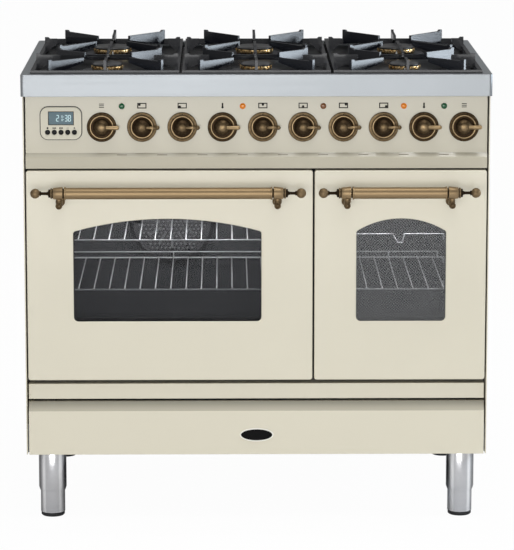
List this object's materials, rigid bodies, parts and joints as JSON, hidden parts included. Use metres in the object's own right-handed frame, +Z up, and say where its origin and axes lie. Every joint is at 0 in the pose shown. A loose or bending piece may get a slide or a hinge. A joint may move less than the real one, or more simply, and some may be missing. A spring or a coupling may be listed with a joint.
{
  "type": "range cooker",
  "caption": "Freestanding range cooker with a gas hob on top, a wide and a narrow oven with drop-down glazed doors, a control row, a storage drawer and tubular legs.",
  "frame": {"origin": "on the floor under the middle of the whole cooker", "axes": "+Z up, the doors face -Y, +X to the right of someone facing the doors"},
  "size_m": [0.9, 0.6564, 0.9],
  "materials": {
    "cream_enamel": "glossy cream enamel",
    "panel_enamel": "glossy cream enamel, a little darker",
    "brushed_steel": "brushed along the worktop",
    "leg_steel": "brushed round the leg",
    "black_enamel": "black vitreous enamel",
    "cap_enamel": "matt black enamel",
    "burner_alloy": "cast, satin",
    "burner_brass": "turned, satin",
    "cast_iron": "glossy black enamelled cast iron",
    "antique_brass": "antique bronzed brass, satin",
    "knob_bronze": "dark antique brass, satin",
    "galvanised_sheet": "galvanised sheet",
    "dark_frame": "black enamelled front frame",
    "oven_enamel": "speckled dark grey oven enamel",
    "liner_enamel": "dark grey enamel",
    "oven_seal": "black oven seal",
    "chrome_wire": "bright chromed wire",
    "fan_steel": "plain pressed steel",
    "element_steel": "dark sheathed element",
    "hinge_steel": "zinc-plated steel",
    "tap_alloy": "die cast",
    "switch_plastic": "moulded switch body",
    "pipe_steel": "zinc-plated pipe",
    "bezel_plastic": "cream moulding",
    "display_glass": "blue-grey display",
    "pilot_lens": "coloured lens",
    "button_plastic": "black button",
    "door_glass": "clear toughened glass"
  },
  "bodies": {
    "cooker": {"worktop_frame": "brushed_steel", "hob_plate": "black_enamel", "burner_cups": "burner_alloy", "flame_rings": "burner_brass", "burner_caps": "cap_enamel", "side_panel_left": "cream_enamel", "side_panel_right": "cream_enamel", "back_panel": "galvanised_sheet", "base_frame": "galvanised_sheet", "front_frame": "dark_frame", "lower_rail": "cream_enamel", "control_panel": "panel_enamel", "oven_cavity_left": "oven_enamel", "oven_cavity_right": "oven_enamel", "door_seals": "oven_seal", "rack_supports": "chrome_wire", "oven_racks": "chrome_wire", "fan_cover": "oven_enamel", "fan_motor": "galvanised_sheet", "heating_elements": "element_steel", "hinge_arms": "hinge_steel", "gas_taps": "tap_alloy", "oven_switches": "switch_plastic", "gas_pipes": "pipe_steel", "clock_bezel": "bezel_plastic", "clock_display": "display_glass", "pilot_lights": "pilot_lens", "leg_sleeves": "leg_steel", "leg_feet": "leg_steel"},
    "oven_fan": {"fan_rotor": "fan_steel"},
    "pan_support_left": {"pan_support_left": "cast_iron"},
    "pan_support_middle": {"pan_support_middle": "cast_iron"},
    "pan_support_right": {"pan_support_right": "cast_iron"},
    "door_left": {"door_left_panel": "cream_enamel", "door_left_glass": "door_glass", "door_left_liner": "liner_enamel", "door_left_handle_bar": "antique_brass", "door_left_handle_fittings": "antique_brass"},
    "door_right": {"door_right_panel": "cream_enamel", "door_right_glass": "door_glass", "door_right_liner": "liner_enamel", "door_right_handle_bar": "antique_brass", "door_right_handle_fittings": "antique_brass"},
    "drawer": {"drawer_front": "cream_enamel", "drawer_box": "galvanised_sheet"},
    "knob_left_oven_function": {"knob_left_oven_function": "knob_bronze"},
    "knob_gas_rear_left": {"knob_gas_rear_left": "knob_bronze"},
    "knob_gas_front_left": {"knob_gas_front_left": "knob_bronze"},
    "knob_left_oven_heat": {"knob_left_oven_heat": "knob_bronze"},
    "knob_gas_rear_middle": {"knob_gas_rear_middle": "knob_bronze"},
    "knob_gas_front_middle": {"knob_gas_front_middle": "knob_bronze"},
    "knob_gas_rear_right": {"knob_gas_rear_right": "knob_bronze"},
    "knob_gas_front_right": {"knob_gas_front_right": "knob_bronze"},
    "knob_right_oven_heat": {"knob_right_oven_heat": "knob_bronze"},
    "knob_right_oven_function": {"knob_right_oven_function": "knob_bronze"},
    "clock_button_1": {"clock_button_1": "button_plastic"},
    "clock_button_2": {"clock_button_2": "button_plastic"},
    "clock_button_3": {"clock_button_3": "button_plastic"},
    "clock_button_4": {"clock_button_4": "button_plastic"},
    "clock_button_5": {"clock_button_5": "button_plastic"}
  },
  "joints": [
    {"name": "door_left_hinge", "type": "hinge", "parent": "cooker", "child": "door_left", "pos_m": [-0.167, -0.24975, 0.293], "axis": [1, 0, 0], "range_deg": [0, 90]},
    {"name": "door_right_hinge", "type": "hinge", "parent": "cooker", "child": "door_right", "pos_m": [0.27675, -0.24975, 0.293], "axis": [1, 0, 0], "range_deg": [0, 90]},
    {"name": "drawer_slide", "type": "slide", "parent": "cooker", "child": "drawer", "axis": [0, -1, 0], "range_m": [0, 0.285]},
    {"name": "knob_left_oven_function_turn", "type": "hinge", "parent": "cooker", "child": "knob_left_oven_function", "pos_m": [-0.2962, -0.25775, 0.773], "axis": [0, 1, 0], "range_deg": [0, 315]},
    {"name": "knob_gas_rear_left_turn", "type": "hinge", "parent": "cooker", "child": "knob_gas_rear_left", "pos_m": [-0.21914, -0.25775, 0.773], "axis": [0, -1, 0], "range_deg": [0, 210]},
    {"name": "knob_gas_front_left_turn", "type": "hinge", "parent": "cooker", "child": "knob_gas_front_left", "pos_m": [-0.14209, -0.25775, 0.773], "axis": [0, -1, 0], "range_deg": [0, 210]},
    {"name": "knob_left_oven_heat_turn", "type": "hinge", "parent": "cooker", "child": "knob_left_oven_heat", "pos_m": [-0.06503, -0.25775, 0.773], "axis": [0, 1, 0], "range_deg": [0, 300]},
    {"name": "knob_gas_rear_middle_turn", "type": "hinge", "parent": "cooker", "child": "knob_gas_rear_middle", "pos_m": [0.01202, -0.25775, 0.773], "axis": [0, -1, 0], "range_deg": [0, 210]},
    {"name": "knob_gas_front_middle_turn", "type": "hinge", "parent": "cooker", "child": "knob_gas_front_middle", "pos_m": [0.08908, -0.25775, 0.773], "axis": [0, -1, 0], "range_deg": [0, 210]},
    {"name": "knob_gas_rear_right_turn", "type": "hinge", "parent": "cooker", "child": "knob_gas_rear_right", "pos_m": [0.16613, -0.25775, 0.773], "axis": [0, -1, 0], "range_deg": [0, 210]},
    {"name": "knob_gas_front_right_turn", "type": "hinge", "parent": "cooker", "child": "knob_gas_front_right", "pos_m": [0.24319, -0.25775, 0.773], "axis": [0, -1, 0], "range_deg": [0, 210]},
    {"name": "knob_right_oven_heat_turn", "type": "hinge", "parent": "cooker", "child": "knob_right_oven_heat", "pos_m": [0.32024, -0.25775, 0.773], "axis": [0, 1, 0], "range_deg": [0, 300]},
    {"name": "knob_right_oven_function_turn", "type": "hinge", "parent": "cooker", "child": "knob_right_oven_function", "pos_m": [0.3973, -0.25775, 0.773], "axis": [0, 1, 0], "range_deg": [0, 315]},
    {"name": "clock_button_1_press", "type": "slide", "parent": "cooker", "child": "clock_button_1", "axis": [0, 1, 0], "range_m": [0, 0.001], "stiffness_N_per_m": 300},
    {"name": "clock_button_2_press", "type": "slide", "parent": "cooker", "child": "clock_button_2", "axis": [0, 1, 0], "range_m": [0, 0.001], "stiffness_N_per_m": 300},
    {"name": "clock_button_3_press", "type": "slide", "parent": "cooker", "child": "clock_button_3", "axis": [0, 1, 0], "range_m": [0, 0.001], "stiffness_N_per_m": 300},
    {"name": "clock_button_4_press", "type": "slide", "parent": "cooker", "child": "clock_button_4", "axis": [0, 1, 0], "range_m": [0, 0.001], "stiffness_N_per_m": 300},
    {"name": "clock_button_5_press", "type": "slide", "parent": "cooker", "child": "clock_button_5", "axis": [0, 1, 0], "range_m": [0, 0.001], "stiffness_N_per_m": 300},
    {"name": "pan_support_left_lift", "type": "slide", "parent": "cooker", "child": "pan_support_left", "axis": [0, 0, 1], "range_m": [0, 0.1]},
    {"name": "pan_support_middle_lift", "type": "slide", "parent": "cooker", "child": "pan_support_middle", "axis": [0, 0, 1], "range_m": [0, 0.1]},
    {"name": "pan_support_right_lift", "type": "slide", "parent": "cooker", "child": "pan_support_right", "axis": [0, 0, 1], "range_m": [0, 0.1]},
    {"name": "oven_fan_spin", "type": "hinge", "parent": "cooker", "child": "oven_fan", "pos_m": [-0.17, 0.20425, 0.516], "axis": [0, 1, 0], "continuous": true}
  ]
}
